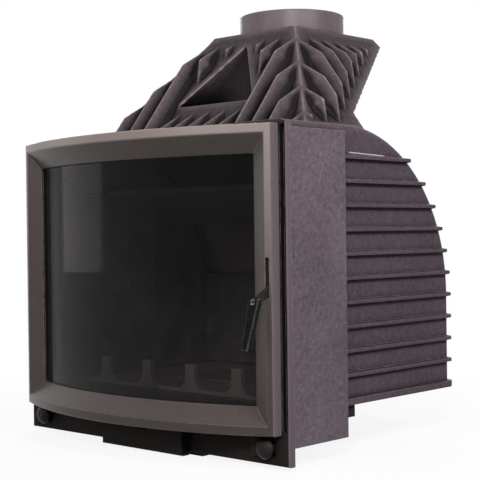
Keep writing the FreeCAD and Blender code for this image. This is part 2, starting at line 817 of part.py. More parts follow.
# The hood is parted along its casting joints: roof, front, two sides, back and the passage between them
ceiling = hood_roof_z - hood_wall
inner_rise = ceiling - shell_top
inner_front = front_y + hood_base_front + hood_wall
inner_side = hood_base_half - hood_wall
inner_neck = front_y + hood_neck_back - hood_wall
inner_end = front_y + hood_roof_back - hood_back_lean * hood_wall - hood_wall
wide = 2.0 * plate_half
roof_zone = block(-wide, wide, -wide, wide, ceiling, hood_cap_z + over)
front_zone = slab_x([(-wide, 0.0), (inner_front, 0.0), (inner_front, shell_top),
                     (inner_front + hood_front_slope * inner_rise, ceiling), (-wide, ceiling)], -wide, wide)
side_zone = slab_y([(wide, 0.0), (inner_side, 0.0), (inner_side, shell_top),
                    (inner_side - hood_side_slope * inner_rise, ceiling), (wide, ceiling)], -wide, wide)
back_zone = slab_x([(wide, 0.0), (inner_neck, 0.0), (inner_neck, hood_neck_z), (inner_end, ceiling),
                    (wide, ceiling)], -wide, wide)
save("hood_roof", hood.common(roof_zone))
hood = hood.cut(roof_zone)
save("hood_front", hood.common(front_zone))
hood = hood.cut(front_zone)
save("hood_right", hood.common(side_zone))
save("hood_left", hood.common(mirrored(side_zone)))
hood = hood.cut([side_zone, mirrored(side_zone)])
save("hood_back", hood.common(back_zone))
save("hood_passage", hood.cut(back_zone))

collar = rod_z(0, collar_y, hood_cap_z, collar_top, collar_outer)
collar = rounded(collar, collar_round, lambda e: e.CenterOfMass.z > collar_top - 0.01)
stop_z = hood_cap_z + collar_stop_height
collar = collar.cut([rod_z(0, collar_y, stop_z, collar_top + over, collar_bore),
                     rod_z(0, collar_y, hood_cap_z - over, stop_z + over, collar_stop)])
save("flue_collar", collar)

# Door frame: bowed front with a mitred bevel round the glass
door = bow(door_radius, door_bottom, door_top)
door = door.common(block(-door_half, door_half, front_y - door_corner - 2.0 * door_bow, door_back,
                         door_bottom, door_top))
door = rounded(door, door_edge_round, lambda e: e.CenterOfMass.y < front_y - door_corner + 0.01)
rim_half = door_half - rim_side
rim_low = door_bottom + rim_bottom
rim_high = door_top - rim_top
bevel_r = door_radius - bevel_depth
spread = 2.0
low_run = (glass_bottom - rim_low) * spread
high_run = (rim_high - glass_top) * spread
bevel_out = bevel_r + bevel_depth * spread
profile = face_of([vec(0, door_axis_y - bevel_r, glass_bottom), vec(0, door_axis_y - bevel_r, glass_top),
                   vec(0, door_axis_y - bevel_out, glass_top + high_run),
                   vec(0, door_axis_y - bevel_out, glass_bottom - low_run)])
sweep = 2.0 * math.degrees(math.asin(door_half / door_radius))
bevel = turned(profile, -sweep).revolve(vec(0, door_axis_y, 0), vec(0, 0, 1), 2.0 * sweep)
inner_y = bow_y(bevel_r, glass_half)
rim_y = bow_y(door_radius, rim_half)
far_x = glass_half + (rim_half - glass_half) * 3.0
far_y = inner_y + (rim_y - inner_y) * 3.0
deep_y = front_y - door_corner - 3.0 * door_bow
bevel = bevel.common(slab_z([(-glass_half, inner_y), (glass_half, inner_y), (far_x, far_y), (far_x, deep_y),
                             (-far_x, deep_y), (-far_x, far_y)], door_bottom, door_top))
recess_half = glass_half + glass_overlap + skin_gap
recess_low = glass_bottom - glass_overlap - skin_gap
recess_high = glass_top + glass_overlap + skin_gap
cavity_half = door_half - door_border
cavity = bow(glass_back_r, door_bottom + door_border, door_top - door_border)
cavity = cavity.common(block(-cavity_half, cavity_half, deep_y, door_back + over, door_bottom, door_top))
opening = block(-glass_half, glass_half, deep_y, door_back + over, glass_bottom, glass_top)
recess = bowed_sheet(bevel_r - lip_thick, glass_back_r - skin_gap, recess_half, recess_low, recess_high)
pocket = block(pocket_inner, pocket_outer, front_y - pocket_floor, door_back + over,
               pocket_bottom, slot_top)
slot = long_hole(lever_x, lever_width + 2.0 * slot_side_gap, deep_y, door_back, slot_bottom, slot_top)


# Clips, screws and their holes stand square to the bow
def clip_at(angle, z0, z1):
    plate = block(-clip_half, clip_half, door_axis_y - glass_back_r + skin_gap,
                  door_axis_y - glass_back_r + skin_gap + clip_thick, z0, z1)
    return turned(plate, angle)


def clip_screw(angle, z, radius, depth):
    seat_y = door_axis_y - glass_back_r + skin_gap
    return turned(rod_y(0, seat_y - depth, seat_y + clip_thick, z, radius), angle)


def clip_head(angle, z):
    seat_y = door_axis_y - glass_back_r + skin_gap + clip_thick
    turns = [2.0 * math.pi * k / wrench_flats for k in range(wrench_flats)]
    corners = [(screw_head_radius * math.cos(turn), z + screw_head_radius * math.sin(turn))
               for turn in turns]
    return turned(slab_y(corners, seat_y, seat_y + screw_head_height), angle)


clip_spots = []
for angle in clip_angles:
    clip_spots.append((angle, glass_bottom + clip_reach - clip_length, glass_bottom + clip_reach,
                       glass_bottom - clip_length / 2.0))
    clip_spots.append((angle, glass_top - clip_reach, glass_top - clip_reach + clip_length,
                       glass_top + clip_length / 2.0))
holes = [clip_screw(a, z, screw_radius + screw_play, screw_depth + skin_gap)
         for a, z0, z1, z in clip_spots]
door = door.cut([bevel, cavity, opening, recess, pocket, slot] + holes)
save("door_frame", door)
save("glass_clips", *[clip_at(a, z0, z1).cut(clip_screw(a, z, screw_radius + screw_play, screw_depth))
                      for a, z0, z1, z in clip_spots])
save("clip_screws", *[clip_screw(a, z, screw_radius, screw_depth).fuse(clip_head(a, z))
                      for a, z0, z1, z in clip_spots])

pane_half = glass_half + glass_overlap
pane_low = glass_bottom - glass_overlap
pane_high = glass_top + glass_overlap
save("door_glass", bowed_sheet(glass_front_r, glass_back_r, pane_half, pane_low, pane_high))
gasket = bowed_sheet(glass_front_r + gasket_thick, glass_front_r, pane_half, pane_low, pane_high)
save("glass_gasket", gasket.cut(block(-glass_half, glass_half, deep_y, front_y, glass_bottom, glass_top)))

# Hinges
hinge_y = front_y - hinge_out
brackets = []
pins = []
door_lugs = []
for z in hinge_heights:
    split = z + hinge_barrel_length
    lug_z = split + skin_gap
    lug_end = lug_z + hinge_barrel_length
    barrel = rod_z(hinge_x, hinge_y, z, split, hinge_barrel)
    web = block(hinge_x - bracket_half, hinge_x + bracket_half, hinge_y, front_y, z, split)
    brackets.append(barrel.fuse(web).cut(rod_z(hinge_x, hinge_y, z - over, split + over,
                                               hinge_pin_radius + press_fit)))
    pins.append(rod_z(hinge_x, hinge_y, z, lug_end, hinge_pin_radius))
    knuckle = rod_z(hinge_x, hinge_y, lug_z, lug_end, hinge_barrel)
    arm = block(hinge_x, -door_half, hinge_y - hinge_barrel, hinge_y + hinge_barrel, lug_z, lug_end)
    door_lugs.append(knuckle.fuse(arm).cut(rod_z(hinge_x, hinge_y, lug_z - over, lug_end + over,
                                                 hinge_pin_radius + running_fit)))
save("hinge_brackets", *brackets)
save("hinge_pins", *pins)
save("door_lugs", *door_lugs)

# Handle lever, grip, pivot pin, bearing, latch hook and keeper
pivot = (front_y - pivot_out, pivot_z)
knee = (front_y - knee_out, knee_z)
arm_end = (front_y - arm_out, arm_z)
grip_end = (front_y - grip_end_out, grip_end_z)
lever_left = lever_x - lever_width / 2.0
lever_right = lever_x + lever_width / 2.0
lever = strut(pivot, knee, lever_arm, lever_left, lever_right)
lever = lever.fuse([strut(knee, arm_end, lever_arm, lever_left, lever_right),
                    rod_x(lever_left, lever_right, pivot[0], pivot[1], lever_hub)])
grip_run = math.hypot(grip_end[0] - arm_end[0], grip_end[1] - arm_end[1])
along = vec(0, (grip_end[0] - arm_end[0]) / grip_run, (grip_end[1] - arm_end[1]) / grip_run)
outward = vec(0, along.z, -along.y)


def grip_section(distance, half, thick):
    middle = vec(lever_x, arm_end[0], arm_end[1]) + along * distance
    corners = [vec(-half, 0, 0) - outward * (thick / 2.0), vec(half, 0, 0) - outward * (thick / 2.0),
               vec(half, 0, 0) + outward * (thick / 2.0), vec(-half, 0, 0) + outward * (thick / 2.0)]
    points = [middle + c for c in corners]
    return Part.makePolygon(points + [points[0]])


grip_start = -lever_arm - grip_shoulder
grip_sections = [grip_section(grip_start, grip_top_half, grip_thick),
                 grip_section(grip_run, grip_end_half, grip_thick)]
grip = Part.makeLoft(grip_sections, True, True)
grip = grip.makeFillet(grip_thick / 4.0, grip.Edges)
grip = grip.cut(lever)
save("handle_lever", lever.cut(rod_x(lever_left - over, lever_right + over, pivot[0], pivot[1],
                                     pivot_radius + press_fit)))
save("handle_grip", grip)
hook_outer = hook_inner + hook_width
save("handle_pin", rod_x(hook_inner, lever_right, pivot[0], pivot[1], pivot_radius))
hook_back = (pivot[0] + hook_reach, pivot_z - hook_drop)
nose = (hook_back[0], hook_back[1] + hook_nose_rise)
hook = strut(pivot, hook_back, hook_arm, hook_inner, hook_outer)
hook = hook.fuse([strut(hook_back, nose, hook_arm, hook_inner, hook_outer),
                  rod_x(hook_inner, hook_outer, pivot[0], pivot[1], lever_hub)])
save("latch_hook", hook.cut(rod_x(hook_inner - over, hook_outer + over, pivot[0], pivot[1],
                                  pivot_radius + press_fit)))
bearing = block(bearing_inner, bearing_outer, front_y - pocket_floor, front_y - bearing_back,
                pivot_z - bearing_half, pivot_z + bearing_half)
save("handle_bearing", bearing.cut(rod_x(bearing_inner - over, bearing_outer + over, pivot[0], pivot[1],
                                         pivot_radius + running_fit)))
keeper_z = nose[1] + hook_arm + keeper_gap
save("latch_keeper", block(hook_inner - keeper_gap, window_half + keeper_wing, plate_back,
                           plate_back + keeper_thick, keeper_z, keeper_z + keeper_height))
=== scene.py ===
# %% [markdown]
# # Cast-iron fireplace insert
# This lesson dresses a finished solid model in Blender. The solids come in as a fixed frame, and every
# step adds a finish or a finer piece where the real insert has one: sand-cast paint, soft pleats on the
# hood, a twisted rope round the door, bolts that hold the glass, light and a camera.

# %% Load the solids
import bpy
import math
import numpy
from mathutils import Matrix, Vector
from mathutils.kdtree import KDTree


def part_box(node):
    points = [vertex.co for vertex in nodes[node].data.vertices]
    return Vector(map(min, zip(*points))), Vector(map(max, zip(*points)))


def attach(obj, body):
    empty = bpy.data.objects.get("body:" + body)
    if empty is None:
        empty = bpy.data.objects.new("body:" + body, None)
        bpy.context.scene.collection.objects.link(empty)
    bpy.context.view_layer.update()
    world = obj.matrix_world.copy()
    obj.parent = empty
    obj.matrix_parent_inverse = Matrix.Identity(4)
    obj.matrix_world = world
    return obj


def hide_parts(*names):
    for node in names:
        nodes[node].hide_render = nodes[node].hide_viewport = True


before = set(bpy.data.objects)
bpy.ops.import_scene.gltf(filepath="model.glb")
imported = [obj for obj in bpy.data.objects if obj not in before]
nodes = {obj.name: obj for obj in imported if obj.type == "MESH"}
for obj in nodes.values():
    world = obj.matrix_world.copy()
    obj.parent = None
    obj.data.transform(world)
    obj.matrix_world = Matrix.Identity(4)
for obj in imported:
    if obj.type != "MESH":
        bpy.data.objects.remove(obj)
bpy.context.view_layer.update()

# %% [markdown]
# ## Camera
# The photograph was taken from the right of the insert, almost level with its middle, with a long lens.
# A camera could be placed by eye. Here its place, heading and roll are numbers worked out from the
# corners of the door, the side panel and the fins, because the render has to lie on the photograph.

# %% Camera
heading = math.radians(42.962)
height_angle = math.radians(0.371)
roll = math.radians(-0.737)
eye = Vector((1.6372, -1.67985, 0.40371))
back = Vector((math.sin(heading) * math.cos(height_angle), -math.cos(heading) * math.cos(height_angle),
               math.sin(height_angle)))
right = (-back).cross(Vector((0, 0, 1))).normalized()
up = right.cross(-back)
across = right * math.cos(roll) + up * math.sin(roll)
above = up * math.cos(roll) - right * math.sin(roll)
lens = bpy.data.cameras.new("camera")
lens.lens = 88.7
lens.sensor_width = 36.0
camera = bpy.data.objects.new("camera", lens)
camera.matrix_world = Matrix(((across.x, above.x, back.x, eye.x), (across.y, above.y, back.y, eye.y),
                              (across.z, above.z, back.z, eye.z), (0, 0, 0, 1)))
bpy.context.scene.collection.objects.link(camera)
bpy.context.scene.camera = camera
print("camera at", tuple(round(v, 3) for v in eye), "lens", lens.lens)

# %% [markdown]
# ## Sums written as sums
# A finish is a graph of nodes, and graphs are tiring to read. Wire wraps one socket and answers to plus,
# minus, times and divide, so that a mask is written as a sum and its Math nodes are added behind it.
# Graph makes any other node: its kind, its settings, then the values or wires of its sockets, with a list
# of wires for a socket that takes several. Shader trees and Geometry Nodes trees take the same two
# classes, and both need a slope, which turns one range of values into 0 to 1.


# %% Wire and Graph
class Wire:
    def __init__(self, graph, socket):
        self.graph = graph
        self.socket = socket

    def sum(self, operation, first, second):
        return self.graph.node("ShaderNodeMath", {"operation": operation}, {0: first, 1: second})

    def __add__(self, other):
        return self.sum("ADD", self, other)

    def __radd__(self, other):
        return self.sum("ADD", other, self)

    def __sub__(self, other):
        return self.sum("SUBTRACT", self, other)

    def __rsub__(self, other):
        return self.sum("SUBTRACT", other, self)

    def __mul__(self, other):
        return self.sum("MULTIPLY", self, other)

    def __rmul__(self, other):
        return self.sum("MULTIPLY", other, self)

    def __truediv__(self, other):
        return self.sum("DIVIDE", self, other)

    def __rtruediv__(self, other):
        return self.sum("DIVIDE", other, self)


class Graph:
    def __init__(self, tree):
        self.tree = tree
        self.tree.nodes.clear()

    def node(self, kind, settings=None, sockets=None, out=0):
        made = self.tree.nodes.new(kind)
        for name, value in (settings or {}).items():
            setattr(made, name, value)
        for name, value in (sockets or {}).items():
            wires = value if isinstance(value, list) else [value]
            if isinstance(wires[0], Wire):
                for wire in wires:
                    self.tree.links.new(wire.socket, made.inputs[name])
            else:
                made.inputs[name].default_value = value
        return Wire(self, made.outputs[out]) if len(made.outputs) else made

    def vector(self, operation, first, second=None, out="Vector"):
        sockets = {0: first} if second is None else {0: first, 1: second}
        return self.node("ShaderNodeVectorMath", {"operation": operation}, sockets, out)

    def slope(self, value, low, high):
        return self.node("ShaderNodeMapRange", None, {"Value": value, "From Min": low, "From Max": high})


print("graph helpers ready")

# %% [markdown]
# ## What finishes share
# Every finish needs the place on the piece, a few sizes of noise, a mix of two colours and a rounded
# edge. Object coordinates are used, since each piece sits at the origin and its metres are the real
# metres: a noise of scale 400 has grains of a few millimetres everywhere. The Mix node has its two colours
# in sockets 6 and 7 and its mixed colour in output 2, because its earlier sockets are for other data.


# %% Shared parts of a finish
def rgb(red, green, blue):
    return (red, green, blue, 1.0)


class Finish(Graph):
    def __init__(self, name):
        self.material = bpy.data.materials.new(name)
        self.material.use_nodes = True
        super().__init__(self.material.node_tree)
        self.place = self.node("ShaderNodeTexCoord", out="Object")

    def noise(self, scale, detail=2.0, rough=0.5, stretch=None):
        place = self.place
        if stretch:
            place = self.node("ShaderNodeMapping", None, {"Vector": place, "Scale": stretch})
        return self.node("ShaderNodeTexNoise", None,
                         {"Vector": place, "Scale": scale, "Detail": detail, "Roughness": rough})

    def along(self, axis):
        return self.node("ShaderNodeSeparateXYZ", None, {0: self.place}, out=axis)

    def attribute(self, name):
        return self.node("ShaderNodeAttribute", {"attribute_name": name}, out="Fac")

    def mix(self, factor, first, second):
        return self.node("ShaderNodeMix", {"data_type": "RGBA"}, {0: factor, 6: first, 7: second}, out=2)

    def soft_edge(self, radius):
        return self.node("ShaderNodeBevel", {"samples": 4}, {"Radius": radius})

    def edge_mask(self, edge):
        flat = self.node("ShaderNodeNewGeometry", out="Normal")
        return self.slope(1.0 - self.vector("DOT_PRODUCT", edge, flat, out="Value"), 0.01, 0.2)

    def bump(self, height, depth, edge=None):
        sockets = {"Height": height, "Distance": depth, "Strength": 1.0}
        if edge:
            sockets["Normal"] = edge
        return self.node("ShaderNodeBump", None, sockets)

    def surface(self, sockets):
        shader = self.node("ShaderNodeBsdfPrincipled", None, sockets)
        self.node("ShaderNodeOutputMaterial", None, {"Surface": shader})
        return self.material


print("finish helpers ready")

# %% [markdown]
# ## Painted castings
# The insert is sand-cast iron sprayed with matte anthracite stove paint. Up close it shows grains of
# sand, shallow dents about a centimetre across, a paint film that is thinner and paler on edges, and a
# few bright specks of dust. The pale edges also carry a painted highlight, and corners that ambient
# occlusion finds closed in get painted shade. One function makes them all, because the castings differ
# only in how smooth they were fettled: the door and the collar are the smooth ones, the side panels and
# the shell the rough ones. The heights of sand and dents are in millimetres. A pleated casting has its
# crests and hollows in two attributes of its mesh, because its edges are already round and Bevel finds
# none: the hollows get painted shade, and the crests are paler for wear and a painted highlight.

# %% Painted castings
bare_iron_and_highlight = rgb(0.36, 0.33, 0.335)
pale_dust = rgb(0.3, 0.29, 0.3)
millimetre = 0.001
painted_shade_reach = 0.05


def painted_casting(name, dark, light, sand, dents, specks, sheen, gloss, edge_radius, edge_light, painted_shade_tone,
                    pleated=False, touches=()):
    finish = Finish(name)
    tone = finish.noise(7.0, 3.0)
    blotch = finish.noise(105.0, 4.0, 0.6)
    grain = finish.noise(480.0, 3.0, 0.6)
    edge = finish.soft_edge(edge_radius)
    painted_shade = rgb(*(v * painted_shade_tone for v in dark[:3]))
    colour = finish.mix(finish.slope(tone * 0.25 + blotch * 0.4 + grain * 0.35, 0.38, 0.62), dark, light)
    # painted shade: the colour darkens towards a shade colour where ambient occlusion finds a corner closed
    # in
    painted_shade_openness = finish.node("ShaderNodeAmbientOcclusion", {"samples": 6}, {"Distance": painted_shade_reach},
                           out="AO")
    colour = finish.mix(finish.slope(painted_shade_openness, 0.45, 0.9), painted_shade, colour)
    # pleats: painted shade in the valleys from swell, and crests paler from crest, as wear and painted
    # highlight
    if pleated:
        wear_and_highlight = finish.slope(finish.attribute("crest"), 0.0005, 0.0013)
        colour = finish.mix(finish.slope(finish.attribute("swell"), 0.0013, -0.0013), colour, painted_shade)
    else:
        wear_and_highlight = finish.edge_mask(edge) * finish.slope(finish.noise(70.0, 3.0), 0.3, 0.55)
    for place, paint in touches:
        colour = finish.mix(place(finish), colour, paint)
    # edges and crests turn paler towards bare iron: partly wear, partly a painted highlight
    colour = finish.mix(wear_and_highlight * edge_light, colour, bare_iron_and_highlight)
    dust = finish.node("ShaderNodeTexVoronoi", None, {"Vector": finish.place, "Scale": 150.0})
    speck = finish.slope(dust, specks, specks * 0.5) * finish.slope(finish.noise(21.0, 1.0), 0.5, 0.58)
    colour = finish.mix(speck, colour, pale_dust)
    height = grain * sand + blotch * dents
    return finish.surface({"Base Color": colour, "Roughness": sheen + grain * 0.16 - wear_and_highlight * 0.08,
                           "Normal": finish.bump(height, millimetre, edge), "Specular IOR Level": gloss})


print("painted casting ready")

# %% [markdown]
# ## Painted highlights, painted shade and a scrape
# The door's front rim has a painted highlight along its upper half, as if lit from above, and painted shade
# at its foot. The right edge of the front plate has a painted highlight too. The sides of the door are
# painted paler, in the colour of the side panels, and a pale scrape runs above the first fin of the shell.
# Each such place is a mask worked out from where a point lies, so it stays on the piece from every side.
# The rim is found by its distance from the axis of the door's bow, which follows from the door's half
# width and from how far its middle stands out.

# %% Bow of the door
door_low, door_high = (Vector(corner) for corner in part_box("door_frame"))
door_half = door_high.x
bow_rise = 0.076
bow_radius = (door_half ** 2 + bow_rise ** 2) / (2.0 * bow_rise)
bow_centre = door_low.y + bow_radius
plate_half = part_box("front_plate")[1][0]
print("bow radius", round(bow_radius, 4), "about y", round(bow_centre, 4))


# %% Masks of the touched places
def door_rim(finish):
    spot = finish.vector("SUBTRACT", finish.place, (0.0, bow_centre, 0.0))
    flat = finish.vector("MULTIPLY", spot, (1.0, 1.0, 0.0))
    distance = finish.vector("LENGTH", flat, out="Value")
    return finish.slope(distance, bow_radius - 0.0021, bow_radius - 0.0005)


# painted highlight: the upper half of the door's rim is painted pale, as if lit from above
def door_rim_painted_highlight(finish):
    return door_rim(finish) * finish.slope(finish.along(2), 0.25, 0.58)


# painted shade: the foot of the door's rim is painted darker, as if turned away from the light
def door_rim_painted_shade(finish):
    return door_rim(finish) * finish.slope(finish.along(2), 0.3, 0.08) * 0.6


def door_side(finish):
    out = finish.along(0)
    return finish.slope(out * out, (door_half - 0.0012) ** 2, (door_half - 0.0004) ** 2)


# painted highlight: a pale line along the front plate's right edge
def plate_edge_painted_highlight(finish):
    return finish.slope(finish.along(0), plate_half - 0.0034, plate_half - 0.0028)


scrape_height = 0.5463
scrape_lean = 0.025
scrape_ripple = 0.003


def scraped_line(finish):
    run = finish.along(1)
    drop = finish.along(2) + run * scrape_lean + finish.noise(80.0, 3.0) * scrape_ripple - scrape_height
    off = finish.node("ShaderNodeMath", {"operation": "ABSOLUTE"}, {0: drop})
    ends = finish.slope(run, 0.004, 0.01) * finish.slope(run, 0.118, 0.108)
    return finish.slope(off, 0.0016, 0.0007) * ends * finish.slope(finish.along(0), 0.3, 0.33)


print("masks ready: rim, door sides, plate edge, scraped line")

# %% Paints of the castings
panel_paint = painted_casting(
    "panel_paint", rgb(0.065, 0.049, 0.061), rgb(0.152, 0.12, 0.144), sand=1.4, dents=2.7, specks=0.16,
    sheen=0.46, gloss=0.16, edge_radius=0.0025, edge_light=0.5, painted_shade_tone=0.6)
shell_paint = painted_casting(
    "shell_paint", rgb(0.053, 0.039, 0.049), rgb(0.1, 0.076, 0.092), sand=0.6, dents=1.2, specks=0.14,
    sheen=0.5, gloss=0.08, edge_radius=0.002, edge_light=0.5, painted_shade_tone=0.3,
    touches=[(scraped_line, rgb(0.42, 0.4, 0.41))])
hood_paint = painted_casting(
    "hood_paint", rgb(0.06, 0.046, 0.051), rgb(0.112, 0.088, 0.096), sand=0.5, dents=1.0, specks=0.08,
    sheen=0.42, gloss=0.08, edge_radius=0.003, edge_light=0.46, painted_shade_tone=0.12, pleated=True)
collar_paint = painted_casting(
    "collar_paint", rgb(0.079, 0.056, 0.065), rgb(0.109, 0.078, 0.089), sand=0.3, dents=0.5, specks=0.05,
    sheen=0.34, gloss=0.42, edge_radius=0.003, edge_light=0.3, painted_shade_tone=0.6)
# the door's rim has a painted highlight along its upper half and painted shade at its foot
door_paint = painted_casting(
    "door_paint", rgb(0.05, 0.0395, 0.037), rgb(0.066, 0.053, 0.05), sand=0.08, dents=0.06, specks=0.0,
    sheen=0.22, gloss=0.2, edge_radius=0.003, edge_light=0.6, painted_shade_tone=0.6,
    touches=[(door_rim_painted_highlight, rgb(0.225, 0.19, 0.181)), (door_rim_painted_shade, rgb(0.035, 0.028, 0.026)),
             (door_side, rgb(0.115, 0.092, 0.106))])
# painted shade: the front plate, ash box, pan front and air ducts are painted near black for the shadow
# under and beside the door
plate_paint = painted_casting(
    "plate_paint", rgb(0.014, 0.011, 0.01), rgb(0.026, 0.021, 0.02), sand=0.3, dents=0.6, specks=0.0,
    sheen=0.55, gloss=0.06, edge_radius=0.0015, edge_light=0.5, painted_shade_tone=0.6,
    touches=[(plate_edge_painted_highlight, rgb(0.112, 0.09, 0.102))])
knob_paint = painted_casting(
    "knob_paint", rgb(0.01, 0.0085, 0.008), rgb(0.02, 0.017, 0.016), sand=0.4, dents=0.5, specks=0.0,
    sheen=0.34, gloss=0.1, edge_radius=0.0015, edge_light=0.12, painted_shade_tone=0.5)
print("painted castings:", sorted(m.name for m in bpy.data.materials if m.name.endswith("_paint")))

# %% [markdown]
# ## Sooty iron, sheet steel and turned steel
# Inside the firebox the iron has lost its paint: it is brown-black, with paler patches of ash. The ash
# pan is thin sheet with a satin black coat. Pins, bolts and clips are plain steel with turning marks,
# made as fine rings by squeezing a noise along two directions.


# %% Inside finishes
def sooty_iron(name, dark, light):
    finish = Finish(name)
    soot = finish.noise(16.0, 5.0, 0.6)
    grain = finish.noise(300.0, 2.0)
    ash = finish.slope(finish.noise(24.0, 6.0, 0.7), 0.56, 0.75)
    colour = finish.mix(finish.slope(soot, 0.35, 0.7), dark, light)
    colour = finish.mix(ash * 0.3, colour, rgb(0.12, 0.112, 0.104))
    edge = finish.soft_edge(0.002)
    return finish.surface({"Base Color": colour, "Roughness": 0.72 + soot * 0.2,
                           "Normal": finish.bump(grain * 0.4 + soot * 1.2, millimetre, edge)})


def coated_sheet(name, dark, light):
    finish = Finish(name)
    haze = finish.noise(20.0, 4.0)
    film = finish.noise(600.0, 2.0)
    colour = finish.mix(finish.slope(haze, 0.3, 0.7), dark, light)
    return finish.surface({"Base Color": colour, "Roughness": 0.42 + haze * 0.2,
                           "Normal": finish.bump(film, 0.1 * millimetre, finish.soft_edge(0.0008))})


def turned_steel(name, dark, light, rough):
    finish = Finish(name)
    rings = finish.noise(90.0, 3.0, 0.6, (1.0, 14.0, 14.0))
    stain = finish.noise(30.0, 4.0)
    colour = finish.mix(finish.slope(rings * 0.6 + stain * 0.4, 0.35, 0.65), dark, light)
    return finish.surface({"Base Color": colour, "Roughness": rough + rings * 0.15, "Metallic": 1.0,
                           "Normal": finish.bump(rings, 0.08 * millimetre, finish.soft_edge(0.0006))})


firebox_iron = sooty_iron("firebox_iron", rgb(0.014, 0.012, 0.011), rgb(0.036, 0.032, 0.03))
guard_iron = sooty_iron("guard_iron", rgb(0.05, 0.044, 0.04), rgb(0.1, 0.088, 0.08))
pan_coat = coated_sheet("pan_coat", rgb(0.026, 0.024, 0.024), rgb(0.046, 0.043, 0.042))
bright_steel = turned_steel("bright_steel", rgb(0.3, 0.29, 0.28), rgb(0.46, 0.45, 0.44), 0.3)
dark_steel = turned_steel("dark_steel", rgb(0.1, 0.095, 0.09), rgb(0.19, 0.18, 0.17), 0.32)
inside = (firebox_iron, guard_iron, pan_coat, bright_steel, dark_steel)
print("inside finishes:", [material.name for material in inside])

# %% [markdown]
# ## Glass, grip and rope
# The pane is smoky ceramic glass: mostly see-through, darker where it is seen at a slant, and with a faint
# film of soot along its lower edge. A Glass shader would bend the view of the firebox, which a thin pane
# doesn't, so the pane is a dark gloss with a low Alpha. The grip is black enamel with the small unevenness
# of a dipped coat and a pale line along its edges, partly wear and partly a painted highlight. The rope is
# woven glass fibre, so it has a very fine bump and no shine.


# %% Glass, grip and rope
def smoky_glass(name, dark, light):
    finish = Finish(name)
    slant = finish.node("ShaderNodeLayerWeight", None, {"Blend": 0.35})
    film = finish.noise(5.0, 4.0, 0.6)
    soot = finish.slope(finish.along(2) + film * 0.12, 0.24, 0.12) * 0.25
    body = 0.16 + slant * 0.3 + soot
    colour = finish.mix(finish.slope(film, 0.3, 0.7), dark, light)
    return finish.surface({"Base Color": colour, "Roughness": 0.01 + film * 0.02, "Alpha": body,
                           "IOR": 1.54, "Specular IOR Level": 0.2})


def dipped_enamel(name, dark, light, worn_edge_and_highlight):
    finish = Finish(name)
    coat = finish.noise(60.0, 2.0)
    edge = finish.soft_edge(0.003)
    colour = finish.mix(finish.slope(coat, 0.3, 0.7), dark, light)
    # pale line on the grip's edges: partly wear, partly a painted highlight
    colour = finish.mix(finish.slope(finish.edge_mask(edge), 0.16, 0.34), colour, worn_edge_and_highlight)
    return finish.surface({"Base Color": colour, "Roughness": 0.14 + coat * 0.08,
                           "Normal": finish.bump(coat, 0.4 * millimetre, edge), "Specular IOR Level": 0.06})


def woven_fibre(name, dark, light):
    finish = Finish(name)
    fibre = finish.noise(1400.0, 2.0)
    patch = finish.noise(60.0, 3.0)
    colour = finish.mix(finish.slope(fibre * 0.5 + patch * 0.5, 0.35, 0.65), dark, light)
    return finish.surface({"Base Color": colour, "Roughness": 0.85 + fibre * 0.1,
                           "Normal": finish.bump(fibre, 0.4 * millimetre)})


pane_glass = smoky_glass("pane_glass", rgb(0.006, 0.006, 0.007), rgb(0.012, 0.011, 0.011))
grip_enamel = dipped_enamel("grip_enamel", rgb(0.002, 0.002, 0.002), rgb(0.004, 0.004, 0.004),
                            rgb(0.36, 0.35, 0.35))
rope_fibre = woven_fibre("rope_fibre", rgb(0.05, 0.047, 0.045), rgb(0.17, 0.16, 0.15))
print("glass, grip and rope:", pane_glass.name, grip_enamel.name, rope_fibre.name)

# %% [markdown]
# ## Dress the solids
# Each solid keeps its own mesh and only gets a finish. The list goes finish by finish, from the painted
# castings outside to the bare iron, steel, glass and rope inside.

# %% Finishes of the solids
dressing = {
    panel_paint: ["side_panel_left", "side_panel_right"],
    shell_paint: ["shell_left", "shell_right", "back_wall", "rear_vault", "top_plate", "base_plate"],
    hood_paint: ["hood_front", "hood_left", "hood_right", "hood_back", "hood_roof", "hood_passage"],
    collar_paint: ["flue_collar"],
    door_paint: ["door_frame", "door_lugs", "hinge_brackets"],
    plate_paint: ["front_plate", "ash_box", "ash_pan_front", "air_duct_left", "air_duct_right"],
    knob_paint: ["air_knob_left", "air_knob_right", "handle_lever"],
    firebox_iron: ["side_liner_left", "side_liner_right", "smoke_baffle", "fireback", "grate"],
    guard_iron: ["log_guard"],
    pan_coat: ["ash_pan", "air_wash_deflector", "air_shutter_left", "air_shutter_right"],
    bright_steel: ["glass_clips", "clip_screws", "hinge_pins", "handle_pin"],
    dark_steel: ["latch_hook", "latch_keeper", "handle_bearing"],
    pane_glass: ["door_glass"],
    grip_enamel: ["handle_grip"],
    rope_fibre: ["door_seal", "glass_gasket"],
}
for material, names in dressing.items():
    for name in names:
        slots = nodes[name].data.materials
        slots.clear()
        slots.append(material)
print("dressed:", sum(len(names) for names in dressing.values()), "of", len(nodes))

# %% [markdown]
# ## Hood: soft pleats
# On the real hood no edge is sharp: the pattern was drawn out of sand, so crests and valleys are rounded.
# The six solids of the hood are copied into one mesh, remeshed into small even faces and smoothed, which
# melts the edges as a casting does. Bevels would fail on pleats that run into each other. Then each point
# is compared with a much smoother copy of the hood. Points that lie below it are in a valley and sink a
# little more, because the real valleys are deep. The same measure is kept on the mesh for the paint, over
# a wide reach as swell and over a narrow one as crest: swell paints shade into the valleys, and crest
# paints the crests paler, partly as wear and partly as a painted highlight.


# %% Relief of a mesh
def vectors(items, key):
    values = numpy.empty(len(items) * 3)
    items.foreach_get(key, values)
    return values.reshape(-1, 3)


